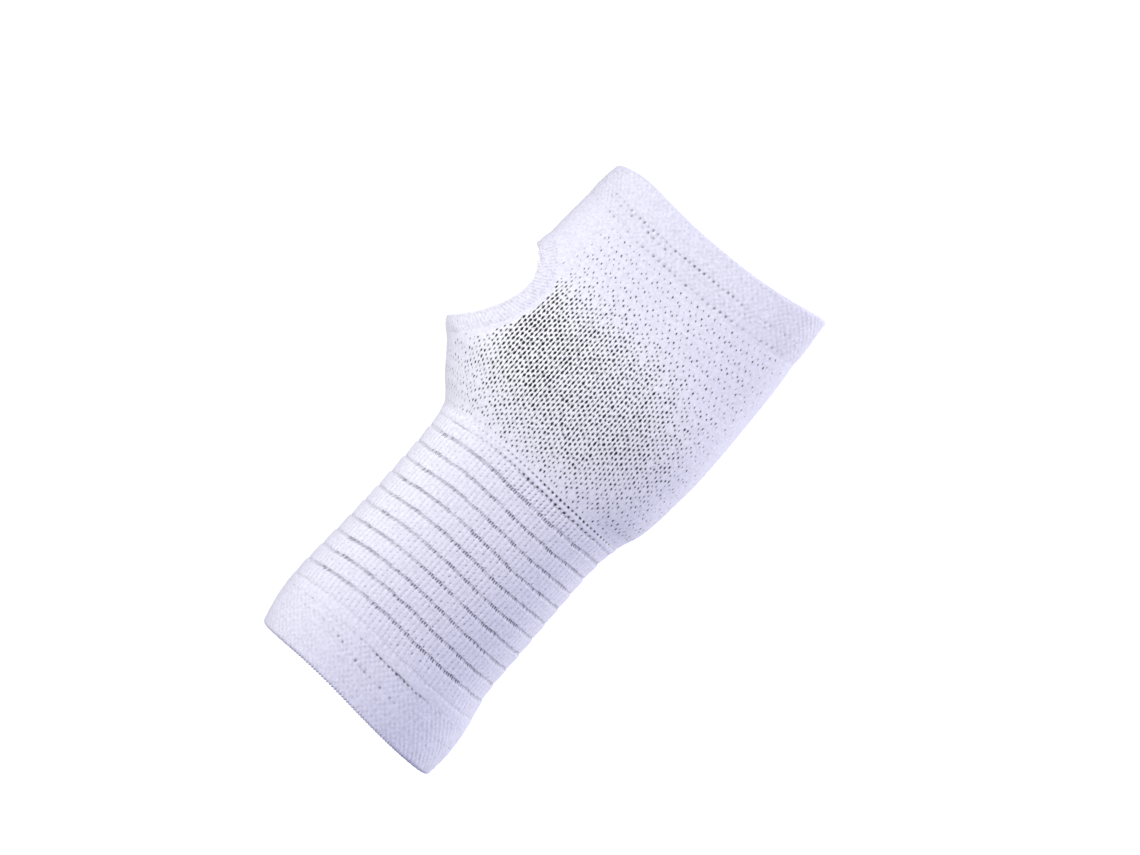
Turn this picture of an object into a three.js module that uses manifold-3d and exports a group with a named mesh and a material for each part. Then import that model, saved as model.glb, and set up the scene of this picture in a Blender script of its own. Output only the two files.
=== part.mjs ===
// Knitted wrist support: an elastic tube for wrist and palm, open at both ends, with a hemmed thumb hole.
// Sizes are in millimetres. +Z runs along the tube from its forearm end to its finger end.
// The palm side faces -Y and the thumb hole -X. The origin is the middle of the ribbed wrist.

import * as THREE from "three";
import { ParametricGeometry } from "three/addons/geometries/ParametricGeometry.js";
import { mergeVertices } from "three/addons/utils/BufferGeometryUtils.js";
import Module from "manifold-3d";

const wasm = await Module();
wasm.setup();

// Levels along the tube, read at its sides, where one knitted zone ends and the next begins.
const LEVEL = {
  fingerEdge: 128.2,
  fingerRow: 116.8,
  palmTop: 111,
  palmBottom: 32.3,
  joiningBottom: 29.7,
  firstGroove: 24.7,
  lastStep: -36.3,
  seam: -39.9,
  forearmRow: -44.7,
  forearmEdge: -56.1,
};

// Thickness of each zone's wall, measured in from the tube's base surface.
const WALL = { welt: 1.7, palm: 1.4, hem: 1.7, joining: 1.6, wrist: 1.9 };

// How far each zone stands out of the base surface, and how deep its lines are pressed into it.
const PROUD = { welt: 0.5, hem: 0.6, joining: 0.5, ribLip: 0.6, ribTail: 0.1 };
const GROOVE_DEPTH = 0.7;
const ROW_DEPTH = 0.2;

// Ribs of the wrist: evenly spaced tiers, each with a lip at its finger side.
const RIB_PITCH = 6.12;
const GROOVE_COUNT = 10;
const RIB_LIP_DROP = 0.9;
const RIB_TAIL_RISE = 1.2;

// Thumb hole: a leaning ellipse, seen from the palm side, with a hem of even width round it.
const THUMB_HOLE = { x: -59.9, z: 68.1, halfWidth: 16.1, halfLength: 26.3, lean: -45.8 };
const HEM_WIDTH = 5.2;
const HEM_REACH = { low: 42, high: 103 };
const CUT_DEPTH = 90;

// Clear distance between neighbouring zones, and how finely the curved faces are divided.
const ZONE_GAP = 0.3;
const ROUND_STEPS = 48;
const WALL_STEP = 6.5;
const FOLD_STEPS = 4;
const HOLE_STEPS = 56;

// Shape of a cross section: 2 is an ellipse and higher powers are squarer.
const SECTION_POWER = 2.3;

// Cross sections from the forearm end to the finger end.
// left is the reach on the thumb side and right on the far side, front is the palm side and back the rear.
// bow lifts a section's middle, sway lifts its thumb half and drops its other half, and slope is its lean
// in degrees, all seen from the palm side.
const SECTIONS = [
  { z: -56.1, left: -33.6, right: 35.3, front: -30, back: 22, bow: 1.7, sway: 0.6, slope: -2.9 },
  { z: -48, left: -35.2, right: 36.1, front: -29.3, back: 22.5, bow: 1.9, sway: 0.9, slope: -1.8 },
  { z: -38, left: -36, right: 35.2, front: -28.2, back: 22.5, bow: 2.4, sway: 1, slope: 0 },
  { z: -28, left: -35.6, right: 33.3, front: -26.6, back: 22.5, bow: 3, sway: 0.85, slope: 0.4 },
  { z: -10, left: -34.3, right: 33.3, front: -24.8, back: 22.8, bow: 2.5, sway: 0.8, slope: 0.4 },
  { z: 10, left: -33.5, right: 33.4, front: -23.5, back: 23, bow: 1.95, sway: 0.8, slope: 0.5 },
  { z: 24, left: -33.5, right: 33.8, front: -23, back: 23, bow: 1.6, sway: 0.85, slope: 0.4 },
  { z: 33, left: -35, right: 35.6, front: -23.2, back: 22.5, bow: 2.2, sway: 0.6, slope: 0 },
  { z: 40, left: -40.6, right: 38.3, front: -24.2, back: 21.8, bow: 1.9, sway: 0.3, slope: 0 },
  { z: 47, left: -45.8, right: 39.7, front: -25, back: 21, bow: 1.3, sway: 0.1, slope: 0 },
  { z: 54, left: -51.2, right: 40.4, front: -25.4, back: 20.2, bow: 0.8, sway: 0, slope: 0 },
  { z: 64, left: -52.5, right: 41.3, front: -25.2, back: 19.2, bow: 0, sway: 0, slope: 0 },
  { z: 76, left: -50, right: 41.6, front: -23, back: 18.5, bow: -1, sway: 0, slope: 0 },
  { z: 89, left: -44.6, right: 41.5, front: -19.8, back: 18, bow: -2.2, sway: 0, slope: 0 },
  { z: 100, left: -43.4, right: 41.3, front: -18, back: 17.6, bow: -3.4, sway: 0, slope: 0 },
  { z: 112, left: -42.4, right: 40.5, front: -16.6, back: 17.2, bow: -4.5, sway: 0, slope: 0.1 },
  { z: 121, left: -41.4, right: 40, front: -15.8, back: 16.8, bow: -4.7, sway: 0, slope: 0.2 },
  { z: 128.2, left: -39.6, right: 39.4, front: -15, back: 16.4, bow: -4.9, sway: 0, slope: 0.2 },
];

// At the rear a section bows by this share.
const BACK_BOW_SHARE = 0.7;

// Rate of change of one column at a row, taken from the rows on either side.
function rowRate(index, name) {
  const before = SECTIONS[Math.max(index - 1, 0)];
  const after = SECTIONS[Math.min(index + 1, SECTIONS.length - 1)];
  return (after[name] - before[name]) / (after.z - before.z);
}

// Smooth cubic between two neighbouring rows of the table.
function column(name, z) {
  const last = SECTIONS.length - 2;
  const found = SECTIONS.findIndex((row) => row.z > z) - 1;
  const index = found < -1 ? last : THREE.MathUtils.clamp(found, 0, last);
  const low = SECTIONS[index];
  const high = SECTIONS[index + 1];
  const span = high.z - low.z;
  const t = THREE.MathUtils.clamp((z - low.z) / span, 0, 1);
  const ease = t * t * (3 - 2 * t);
  const leave = t * (1 - t) * (1 - t) * span * rowRate(index, name);
  const arrive = t * t * (t - 1) * span * rowRate(index + 1, name);
  return low[name] + (high[name] - low[name]) * ease + leave + arrive;
}

// A signed power, for the four quarters of a squared ellipse.
function signedPower(value) {
  return Math.sign(value) * Math.abs(value) ** (2 / SECTION_POWER);
}

// Point on the tube at a level and an angle, a distance out from its base surface.
function tubePoint(z, out, angle, target) {
  const left = column("left", z) - out;
  const right = column("right", z) + out;
  const front = column("front", z) - out;
  const back = column("back", z) + out;
  const depth = Math.sin(angle);
  const across = signedPower(Math.cos(angle));
  const x = (left + right) / 2 + ((right - left) / 2) * across;
  const y = (front + back) / 2 + ((back - front) / 2) * signedPower(depth);
  const bow = column("bow", z) * depth * depth * (depth < 0 ? 1 : BACK_BOW_SHARE);
  const sway = column("sway", z) * Math.sin(Math.PI * across);
  const lean = x * Math.tan(THREE.MathUtils.degToRad(column("slope", z)));
  return target.set(x, y, z + bow - sway + lean);
}

// Evenly spaced levels from one to another, both included.
function levels(from, to) {
  const count = Math.max(1, Math.round(Math.abs(to - from) / WALL_STEP));
  return Array.from({ length: count + 1 }, (_, step) => THREE.MathUtils.lerp(from, to, step / count));
}

// Plain stretch of wall at an even distance out.
function stretch(from, to, out) {
  return levels(from, to).map((z) => ({ z, out }));
}

// Round fold at a free edge, from one distance out to another.
// toward is 1 at the finger edge and -1 at the forearm edge.
function fold(edge, fromOut, toOut, toward) {
  const radius = Math.abs(fromOut - toOut) / 2;
  const middle = (fromOut + toOut) / 2;
  return Array.from({ length: FOLD_STEPS + 1 }, (_, step) => {
    const turn = (Math.PI * step) / FOLD_STEPS;
    const z = edge - toward * radius * (1 - Math.sin(turn));
    return { z, out: middle + (fromOut - middle) * Math.cos(turn) };
  });
}

// Closed wall: the outline runs up the outer face and down the inner one, and goes once round the tube.
function wallGeometry(outline) {
  const surface = (u, v, target) => {
    const { z, out } = outline[Math.round(v * outline.length) % outline.length];
    tubePoint(z, out, 2 * Math.PI * u, target);
  };
  return positionsOnly(new ParametricGeometry(surface, ROUND_STEPS, outline.length));
}

// Geometry with its shared corners merged.
function positionsOnly(geometry) {
  geometry.deleteAttribute("normal");
  geometry.deleteAttribute("uv");
  return mergeVertices(geometry);
}

// Solid for joining and cutting.
function toSolid(geometry) {
  const vertProperties = new Float32Array(geometry.attributes.position.array);
  const triVerts = new Uint32Array(geometry.index.array);
  return new wasm.Manifold(new wasm.Mesh({ numProp: 3, vertProperties, triVerts }));
}

// Geometry of a cut solid.
function toGeometry(solid) {
  const mesh = solid.getMesh();
  const geometry = new THREE.BufferGeometry();
  geometry.setAttribute("position", new THREE.BufferAttribute(mesh.vertProperties, 3));
  geometry.setIndex(new THREE.BufferAttribute(mesh.triVerts, 1));
  return geometry;
}

// Right-through plug of the thumb hole, made larger all round by a margin.
function holePlug(margin) {
  const { x, z, halfWidth, halfLength, lean } = THUMB_HOLE;
  const outline = new THREE.Shape();
  const turn = THREE.MathUtils.degToRad(lean);
  outline.absellipse(x, z, halfWidth + margin, halfLength + margin, 0, 2 * Math.PI, false, turn);
  const plug = new THREE.ExtrudeGeometry(outline, {
    depth: CUT_DEPTH,
    bevelEnabled: false,
    curveSegments: HOLE_STEPS,
  });
  plug.rotateX(Math.PI / 2);
  plug.translate(0, CUT_DEPTH / 2, 0);
  return toSolid(positionsOnly(plug));
}

// Doubled band at the finger end, folded at its edge.
function fingerWelt() {
  const low = LEVEL.palmTop + ZONE_GAP / 2;
  const { fingerEdge, fingerRow } = LEVEL;
  const inner = -WALL.welt;
  const foldLevel = fingerEdge - (PROUD.welt + WALL.welt) / 2;
  return wallGeometry([
    { z: low, out: 0 },
    { z: low + 1, out: PROUD.welt },
    { z: fingerRow - 1, out: PROUD.welt },
    { z: fingerRow, out: -ROW_DEPTH },
    { z: fingerRow + 1, out: PROUD.welt },
    ...fold(fingerEdge, PROUD.welt, inner, 1),
    ...stretch(foldLevel - WALL_STEP, low, inner),
  ]);
}

// Thin open-work wall round the palm, before the thumb hole is cut.
function palmTube(out, thickness, low, high) {
  return wallGeometry([...stretch(low, high, out), ...stretch(high, low, -thickness)]);
}

// Palm wall with room for the thumb hole and its hem.
function palmSleeve() {
  const low = LEVEL.palmBottom + ZONE_GAP / 2;
  const high = LEVEL.palmTop - ZONE_GAP / 2;
  const tube = toSolid(palmTube(0, WALL.palm, low, high));
  return toGeometry(tube.subtract(holePlug(HEM_WIDTH + ZONE_GAP)));
}

// Thick band round the thumb hole, in the curve of the palm wall.
function thumbHem() {
  const tube = toSolid(palmTube(PROUD.hem, WALL.hem, HEM_REACH.low, HEM_REACH.high));
  const band = holePlug(HEM_WIDTH).subtract(holePlug(0));
  return toGeometry(tube.intersect(band));
}

// Narrow raised row between palm and wrist.
function joiningBand() {
  const low = LEVEL.joiningBottom + ZONE_GAP / 2;
  const high = LEVEL.palmBottom - ZONE_GAP / 2;
  const middle = (low + high) / 2;
  return wallGeometry([
    { z: low, out: -ROW_DEPTH },
    { z: middle, out: PROUD.joining },
    { z: high, out: -ROW_DEPTH },
    ...stretch(high, low, -WALL.joining),
  ]);
}

// One tier of the wrist, from the groove at its forearm side to its lip at the finger side.
function ribTier(low, high) {
  return [
    { z: low, out: -GROOVE_DEPTH },
    { z: low + RIB_TAIL_RISE, out: PROUD.ribTail },
    { z: high - RIB_LIP_DROP, out: PROUD.ribLip },
  ];
}

// Ribbed wall of the wrist.
function wristSleeve() {
  const low = LEVEL.seam + ZONE_GAP / 2;
  const high = LEVEL.joiningBottom - ZONE_GAP / 2;
  const grooves = Array.from({ length: GROOVE_COUNT }, (_, index) => LEVEL.firstGroove - RIB_PITCH * index);
  const edges = [high, ...grooves, LEVEL.lastStep].reverse();
  const tiers = edges.slice(1).flatMap((edge, index) => ribTier(edges[index], edge));
  return wallGeometry([
    { z: low, out: 0 },
    ...tiers,
    { z: high, out: -ROW_DEPTH },
    ...stretch(high, low, -WALL.wrist),
  ]);
}

// Doubled band at the forearm end, folded at its edge.
function forearmWelt() {
  const high = LEVEL.seam - ZONE_GAP / 2;
  const { forearmEdge, forearmRow } = LEVEL;
  const inner = -WALL.welt;
  const foldLevel = forearmEdge + (PROUD.welt + WALL.welt) / 2;
  return wallGeometry([
    ...fold(forearmEdge, inner, PROUD.welt, -1),
    { z: forearmRow - 1, out: PROUD.welt },
    { z: forearmRow, out: -ROW_DEPTH },
    { z: forearmRow + 1, out: PROUD.welt },
    { z: high - 1, out: PROUD.welt },
    { z: high, out: 0 },
    ...stretch(high, foldLevel + WALL_STEP, inner),
  ]);
}

// Named mesh of one knitted zone.
function zone(name, geometry, color) {
  const knit = new THREE.MeshStandardMaterial({ color, roughness: 0.95, metalness: 0 });
  const mesh = new THREE.Mesh(geometry, knit);
  mesh.name = name;
  return mesh;
}

const wristSupport = new THREE.Group();
wristSupport.add(zone("finger_welt", fingerWelt(), 0xefedf6));
wristSupport.add(zone("palm_sleeve", palmSleeve(), 0xe4e2ea));
wristSupport.add(zone("thumb_hem", thumbHem(), 0xf0eef7));
wristSupport.add(zone("joining_band", joiningBand(), 0xeceaf4));
wristSupport.add(zone("wrist_sleeve", wristSleeve(), 0xe8e6f2));
wristSupport.add(zone("forearm_welt", forearmWelt(), 0xefedf6));

export default wristSupport;
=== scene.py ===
import math
from collections import namedtuple

import bmesh
import bpy
import numpy as np
from mathutils import Matrix, Vector


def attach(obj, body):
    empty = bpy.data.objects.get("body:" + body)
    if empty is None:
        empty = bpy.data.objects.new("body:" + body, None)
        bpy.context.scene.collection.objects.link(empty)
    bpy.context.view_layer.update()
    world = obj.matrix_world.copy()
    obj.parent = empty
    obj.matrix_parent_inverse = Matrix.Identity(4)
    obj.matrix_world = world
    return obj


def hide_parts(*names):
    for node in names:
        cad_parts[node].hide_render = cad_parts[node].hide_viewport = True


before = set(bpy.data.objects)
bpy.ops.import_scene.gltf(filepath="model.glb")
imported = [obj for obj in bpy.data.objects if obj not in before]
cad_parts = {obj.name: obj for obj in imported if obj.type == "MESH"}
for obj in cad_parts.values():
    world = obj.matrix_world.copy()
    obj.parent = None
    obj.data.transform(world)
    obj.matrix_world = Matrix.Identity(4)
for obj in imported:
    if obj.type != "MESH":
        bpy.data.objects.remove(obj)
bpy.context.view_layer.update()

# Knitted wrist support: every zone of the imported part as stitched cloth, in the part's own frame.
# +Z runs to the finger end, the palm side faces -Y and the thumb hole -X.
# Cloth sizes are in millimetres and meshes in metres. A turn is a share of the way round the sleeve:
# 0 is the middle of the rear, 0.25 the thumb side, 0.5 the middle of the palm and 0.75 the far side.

MM = 0.001
RNG = np.random.default_rng(11)

# The sleeve's form, repeated from the part's source
LEVEL = {
    "finger_edge": 128.2,
    "palm_top": 111.0,
    "palm_bottom": 32.3,
    "joining_bottom": 29.7,
    "first_groove": 24.7,
    "last_step": -36.3,
    "seam": -39.9,
    "forearm_edge": -56.1,
}
WALL = {"welt": 1.7, "palm": 1.1, "joining": 1.6, "wrist": 1.9}
RIB_PITCH = 6.12
GROOVE_COUNT = 10
THUMB_HOLE = {"x": -59.9, "z": 68.1, "half_width": 16.1, "half_length": 26.3, "lean": -45.8}
HEM_WIDTH = 5.2
SECTION_POWER = 2.3
BACK_BOW_SHARE = 0.7

# How far each zone reaches past its own levels, towards the next zone
LAP = 0.05

# Cross sections from the forearm end to the finger end. left and right are the reach on the thumb side
# and the far side, front and back on the palm side and the rear. bow lifts a section's middle, sway lifts
# its thumb half and drops its other half, and slope is its lean in degrees.
COLUMNS = ("z", "left", "right", "front", "back", "bow", "sway", "slope")
SECTIONS = np.array([
    (-56.1, -33.6, 35.3, -30.0, 22.0, 1.7, 0.6, -2.9),
    (-48.0, -35.2, 36.1, -29.3, 22.5, 1.9, 0.9, -1.8),
    (-38.0, -36.0, 35.2, -28.2, 22.5, 2.4, 1.0, 0.0),
    (-28.0, -35.6, 33.3, -26.6, 22.5, 3.0, 0.85, 0.4),
    (-10.0, -34.3, 33.3, -24.8, 22.8, 2.5, 0.8, 0.4),
    (10.0, -33.5, 33.4, -23.5, 23.0, 1.95, 0.8, 0.5),
    (24.0, -33.5, 33.8, -23.0, 23.0, 1.6, 0.85, 0.4),
    (33.0, -35.0, 35.6, -23.2, 22.5, 2.2, 0.6, 0.0),
    (40.0, -40.6, 38.3, -24.2, 21.8, 1.9, 0.3, 0.0),
    (47.0, -45.8, 39.7, -25.0, 21.0, 1.3, 0.1, 0.0),
    (54.0, -51.2, 40.4, -25.4, 20.2, 0.8, 0.0, 0.0),
    (64.0, -52.5, 41.3, -25.2, 19.2, 0.0, 0.0, 0.0),
    (76.0, -50.0, 41.6, -23.0, 18.5, -1.0, 0.0, 0.0),
    (89.0, -44.6, 41.5, -19.8, 18.0, -2.2, 0.0, 0.0),
    (100.0, -43.4, 41.3, -18.0, 17.6, -3.4, 0.0, 0.0),
    (112.0, -42.4, 40.5, -16.6, 17.2, -4.5, 0.0, 0.1),
    (121.0, -41.4, 40.0, -15.8, 16.8, -4.7, 0.0, 0.2),
    (128.2, -39.6, 39.4, -15.0, 16.4, -4.9, 0.0, 0.2),
])


def column(name, level):
    """One column of the table at any level, on smooth curves through its rows."""
    z = SECTIONS[:, 0]
    values = SECTIONS[:, COLUMNS.index(name)]
    before = np.maximum(np.arange(len(z)) - 1, 0)
    after = np.minimum(np.arange(len(z)) + 1, len(z) - 1)
    rates = (values[after] - values[before]) / (z[after] - z[before])
    row = np.clip(np.searchsorted(z, level, side="right") - 1, 0, len(z) - 2)
    span = z[row + 1] - z[row]
    t = np.clip((level - z[row]) / span, 0, 1)
    ease = t * t * (3 - 2 * t)
    leave = t * (1 - t) ** 2 * span * rates[row]
    arrive = t * t * (t - 1) * span * rates[row + 1]
    return values[row] + (values[row + 1] - values[row]) * ease + leave + arrive


def signed_power(value):
    return np.sign(value) * np.abs(value) ** (2 / SECTION_POWER)


def sleeve_point(level, angle, out):
    """Points on the sleeve at a level and an angle, a distance out from its base surface."""
    left = column("left", level) - out
    right = column("right", level) + out
    front = column("front", level) - out
    back = column("back", level) + out
    depth = np.sin(angle)
    across = signed_power(np.cos(angle))
    x = (left + right) / 2 + (right - left) / 2 * across
    y = (front + back) / 2 + (back - front) / 2 * signed_power(depth)
    bow = column("bow", level) * depth**2 * np.where(depth < 0, 1, BACK_BOW_SHARE)
    sway = column("sway", level) * np.sin(np.pi * across)
    lean = x * np.tan(np.radians(column("slope", level)))
    return np.stack([x, y, level + bow - sway + lean], axis=-1)


# Even spacing of the stitches round the sleeve, from a table with one row for each millimetre
TABLE_LEVELS = np.arange(-58.0, 131.0)
TABLE_END = 0.001
HALF_STEPS = 240
FINE_STEPS = 360


def step_lengths(points):
    return np.linalg.norm(np.diff(points, axis=0), axis=1)


def lengths_along(points):
    """Length of cloth from the first point to each one."""
    return np.concatenate([[0], np.cumsum(step_lengths(points))])


def even_angles():
    """Angles, level by level, that share each half of the sleeve out in equal lengths of cloth."""
    half_turn = np.radians(np.linspace(90, 270, FINE_STEPS + 1))
    rows = []
    for level in TABLE_LEVELS:
        halves = []
        for start in (0, np.pi):
            angles = half_turn + start
            along = lengths_along(sleeve_point(np.full_like(angles, level), angles, 0))
            halves.append(np.interp(np.linspace(0, along[-1], HALF_STEPS + 1), along, angles))
        rows.append(np.concatenate([halves[0], halves[1][1:]]))
    return np.array(rows)


ANGLES = even_angles()


def angle_at(level, turn):
    """Angle of a place on the sleeve, read between the rows and columns of the table."""
    row = np.clip(level - TABLE_LEVELS[0], 0, len(TABLE_LEVELS) - 1 - TABLE_END)
    place = np.clip(turn, 0, 1) * (2 * HALF_STEPS - TABLE_END)
    low, first = row.astype(int), place.astype(int)
    up, on = row - low, place - first
    lower = ANGLES[low, first] * (1 - on) + ANGLES[low, first + 1] * on
    upper = ANGLES[low + 1, first] * (1 - on) + ANGLES[low + 1, first + 1] * on
    return lower * (1 - up) + upper * up


def on_sleeve(turn, level, out):
    """Places on the sleeve in metres."""
    return sleeve_point(level, angle_at(level, turn), out) * MM


def girth(level):
    """Length of cloth once round the sleeve, in millimetres."""
    turns = np.linspace(0, 1, FINE_STEPS + 1)
    points = on_sleeve(turns, np.full_like(turns, level), 0) / MM
    return step_lengths(points).sum()


# Shader expressions
class Shade:
    """A shader socket that Python expressions can work with."""

    def __init__(self, tree, socket):
        self.tree = tree
        self.socket = socket

    def math(self, operation, first, second):
        node = self.tree.nodes.new("ShaderNodeMath")
        node.operation = operation
        plug(self.tree, node.inputs[0], first)
        plug(self.tree, node.inputs[1], second)
        return Shade(self.tree, node.outputs[0])

    def __add__(self, other):
        return self.math("ADD", self, other)

    def __radd__(self, other):
        return self.math("ADD", other, self)

    def __sub__(self, other):
        return self.math("SUBTRACT", self, other)

    def __rsub__(self, other):
        return self.math("SUBTRACT", other, self)

    def __mul__(self, other):
        return self.math("MULTIPLY", self, other)

    def __rmul__(self, other):
        return self.math("MULTIPLY", other, self)

    def __pow__(self, other):
        return self.math("POWER", self, other)


def plug(tree, place, value):
    """Link a shader value to a socket, or set the socket to a plain value."""
    if isinstance(value, Shade):
        tree.links.new(value.socket, place)
    else:
        place.default_value = value


class Finish:
    """A material whose nodes are added one expression at a time."""

    def __init__(self, name):
        self.material = bpy.data.materials.new(name)
        self.material.use_nodes = True
        self.tree = self.material.node_tree
        self.surface = self.tree.nodes["Principled BSDF"]

    def add(self, kind, settings, sockets, output=0):
        """One output of a new node, whose settings are made before its sockets."""
        node = self.tree.nodes.new(kind)
        for name, value in settings.items():
            setattr(node, name, value)
        for name, value in sockets.items():
            plug(self.tree, node.inputs[name], value)
        return Shade(self.tree, node.outputs[output])

    def attribute(self, name):
        """A number that each vertex carries."""
        return self.add("ShaderNodeAttribute", {"attribute_name": name}, {}, output="Fac")

    def noise(self, place, scale, detail):
        return self.add("ShaderNodeTexNoise", {}, {"Vector": place, "Scale": scale, "Detail": detail})

    def between(self, value, low, high, interpolation="LINEAR"):
        """0 where a value is low and 1 where it is high."""
        return self.add(
            "ShaderNodeMapRange",
            {"interpolation_type": interpolation},
            {"Value": value, "From Min": low, "From Max": high},
        )

    def mix(self, share, first, second):
        """Blend of two colours, on the sockets that a Mix node has for colours."""
        return self.add(
            "ShaderNodeMix",
            {"data_type": "RGBA", "clamp_factor": True},
            {0: share, 6: first, 7: second},
            output=2,
        )

    def set(self, **sockets):
        for name, value in sockets.items():
            plug(self.tree, self.surface.inputs[name.replace("_", " ").title()], value)


# Finishes of the yarns
YARN_WHITE = (0.98, 0.975, 1.0, 1)
YARN_SHADED = (0.98 * 0.62, 0.975 * 0.62, 1.0 * 0.62, 1)
YARN_TAUT = (1.0, 1.0, 0.93, 1)
# Colours of the painted shade between stitches, in pin holes, grooves and eyelets
PAINTED_SHADE_GREY = (0.02, 0.02, 0.025, 1)
RIB_PAINTED_SHADE = (0.05, 0.047, 0.105, 1)
SOFT_PAINTED_SHADE = 1.5
NARROW_PAINTED_SHADE = 6.0
GRAIN_DEPTH = 0.2
MOTTLE = {"scale": 90.0, "detail": 2.0}
GRAIN = {"scale": 1150.0, "detail": 1.0}
FUZZ = {"scale": 2900.0, "detail": 2.0}
STRANDS = {"Scale": 1.6, "Distortion": 0.6, "Detail": 1.0}
CLUMPS = {"low": 0.3, "high": 0.75}
TINT_SHARE = {"mottle": 0.1, "clumps": 0.42, "fuzz": 0.14}
DASH_STRETCH = (2.6, 1.1, 1.0)
DASHES = {"low": 0.54, "high": 0.66}
DASH_SHADE = 0.35
YARN_ROUGHNESS = 0.72
FUZZ_ROUGHNESS = 0.2
BUMP_SHARE = {"grain": 0.6, "fuzz": 0.25, "strands": 0.15}
BUMP_STRENGTH = 0.8
SHEEN = {"sheen_weight": 0.3, "sheen_roughness": 0.5}
SPECULAR_LEVEL = 0.2


def knit_finish(name, shade_colour, sharpness):
    """White yarn with near-black painted shade between stitches, with grain, fuzz and a faint mottle.
    The higher the sharpness, the narrower the painted shade. Where the cloth is pulled the yarn is bright
    and plain, with thin dashes of painted shade along the wales."""
    finish = Finish(name)
    painted_shade = finish.attribute("painted_shade")
    pull = finish.attribute("pull")
    place = finish.add("ShaderNodeTexCoord", {}, {}, output="Object")
    stitches = finish.add("ShaderNodeUVMap", {"uv_map": "stitches"}, {})
    mottle = finish.noise(place, **MOTTLE)
    grain = finish.noise(place, **GRAIN)
    fuzz = finish.noise(place, **FUZZ)
    strands = finish.add(
        "ShaderNodeTexWave", {"bands_direction": "DIAGONAL"}, {"Vector": stitches, **STRANDS}, output="Fac"
    )

    clumps = finish.between(grain, **CLUMPS)
    uneven = mottle * TINT_SHARE["mottle"] + clumps * TINT_SHARE["clumps"] + fuzz * TINT_SHARE["fuzz"]
    bright = finish.mix(pull, YARN_WHITE, YARN_TAUT)
    pale = finish.mix(uneven * (1 - pull), bright, YARN_SHADED)

    # Thin dashes of painted shade along the wales, for the dark slits where the cloth is pulled
    tall = finish.add("ShaderNodeMapping", {}, {"Vector": stitches, "Scale": DASH_STRETCH})
    dashes = finish.between(finish.noise(tall, 1.0, 1.0), **DASHES, interpolation="SMOOTHSTEP")
    # The painted shade blends the yarn towards the shade colour
    shade_share = painted_shade**sharpness + dashes * pull * DASH_SHADE
    roughness = YARN_ROUGHNESS + fuzz * FUZZ_ROUGHNESS
    finish.set(base_color=finish.mix(shade_share, pale, shade_colour), roughness=roughness, **SHEEN)

    height = grain * BUMP_SHARE["grain"] + fuzz * BUMP_SHARE["fuzz"] + strands * BUMP_SHARE["strands"]
    relief = {"Height": height, "Strength": BUMP_STRENGTH, "Distance": GRAIN_DEPTH * MM}
    finish.set(normal=finish.add("ShaderNodeBump", {}, relief))
    finish.surface.inputs["Specular IOR Level"].default_value = SPECULAR_LEVEL
    return finish.material


WELT_KNIT = knit_finish("welt_knit", PAINTED_SHADE_GREY, SOFT_PAINTED_SHADE)
PALM_KNIT = knit_finish("palm_knit", PAINTED_SHADE_GREY, NARROW_PAINTED_SHADE)
RIB_KNIT = knit_finish("rib_knit", RIB_PAINTED_SHADE, SOFT_PAINTED_SHADE)
HEM_THREAD = knit_finish("hem_thread", PAINTED_SHADE_GREY, SOFT_PAINTED_SHADE)

# Cloth
MERGE_DISTANCE = 0.002
SHARP_CORNER = 55.0
LINING_SHADE = 0.15
LINING_ROW = 1.6
FOLD_STEPS = 6
WANDER_WAVES = (3, 5, 8, 13, 21)
WANDER_SEED = {"rib_lift": 3, "rib_shade": 5, "finger_pins": 7, "band_pins": 9}


def flat_cloth(columns, rows):
    """Flat cloth of unit squares that starts at the origin."""
    bm = bmesh.new()
    bmesh.ops.create_grid(bm, x_segments=columns, y_segments=rows, size=0.5)
    bmesh.ops.translate(bm, vec=(0.5, 0.5, 0), verts=bm.verts)
    bmesh.ops.scale(bm, vec=(columns, rows, 1), verts=bm.verts)
    return bm


def flat_places(bm):
    """Where each vertex lies on the flat cloth."""
    places = np.array([vert.co for vert in bm.verts], dtype=float)
    return places[:, 0], places[:, 1]


def mark(bm, painted_shade, across, along, **others):
    """Keep each vertex's painted shade between stitches, and its place in wales and courses."""
    for name, values in {"painted_shade": painted_shade, **others}.items():
        layer = bm.verts.layers.float.new(name)
        for vert, value in zip(bm.verts, values):
            vert[layer] = value
    stitches = bm.loops.layers.uv.new("stitches")
    bm.verts.index_update()
    for face in bm.faces:
        for loop in face.loops:
            index = loop.vert.index
            loop[stitches].uv = (across[index], along[index])


def move(bm, points):
    for vert, point in zip(bm.verts, points):
        vert.co = point


def close_seams(bm):
    bmesh.ops.remove_doubles(bm, verts=bm.verts, dist=MERGE_DISTANCE * MM)
    bmesh.ops.recalc_face_normals(bm, faces=bm.faces)


def piece(name, bm, material, slot, *nodes):
    """Finished object of one knitted zone, which stands for CAD nodes."""
    mesh = bpy.data.meshes.new(name)
    for face in bm.faces:
        face.smooth = True
    bm.to_mesh(mesh)
    bm.free()
    mesh.set_sharp_from_angle(angle=math.radians(SHARP_CORNER))
    mesh.materials.append(material)
    obj = bpy.data.objects.new(name, mesh)
    bpy.context.scene.collection.objects.link(obj)
    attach(obj, "root")
    if nodes:
        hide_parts(*nodes)
    return obj


def smooth_step(low, high, value):
    t = np.clip((value - low) / (high - low), 0, 1)
    return t * t * (3 - 2 * t)


def hump(value, middle, width):
    """Bell curve round a middle."""
    return np.exp(-(((value - middle) / width) ** 2))


def wander(turn, level, seed):
    """Slow unevenness over the sleeve, from about -1 to 1."""
    phases = np.random.default_rng(seed)
    total = 0
    for waves in WANDER_WAVES:
        phase = phases.uniform(0, 6.3)
        slant = phases.uniform(-0.4, 0.4)
        total = total + np.sin(2 * np.pi * waves * turn + phase + level * slant)
    return total / 3


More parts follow.
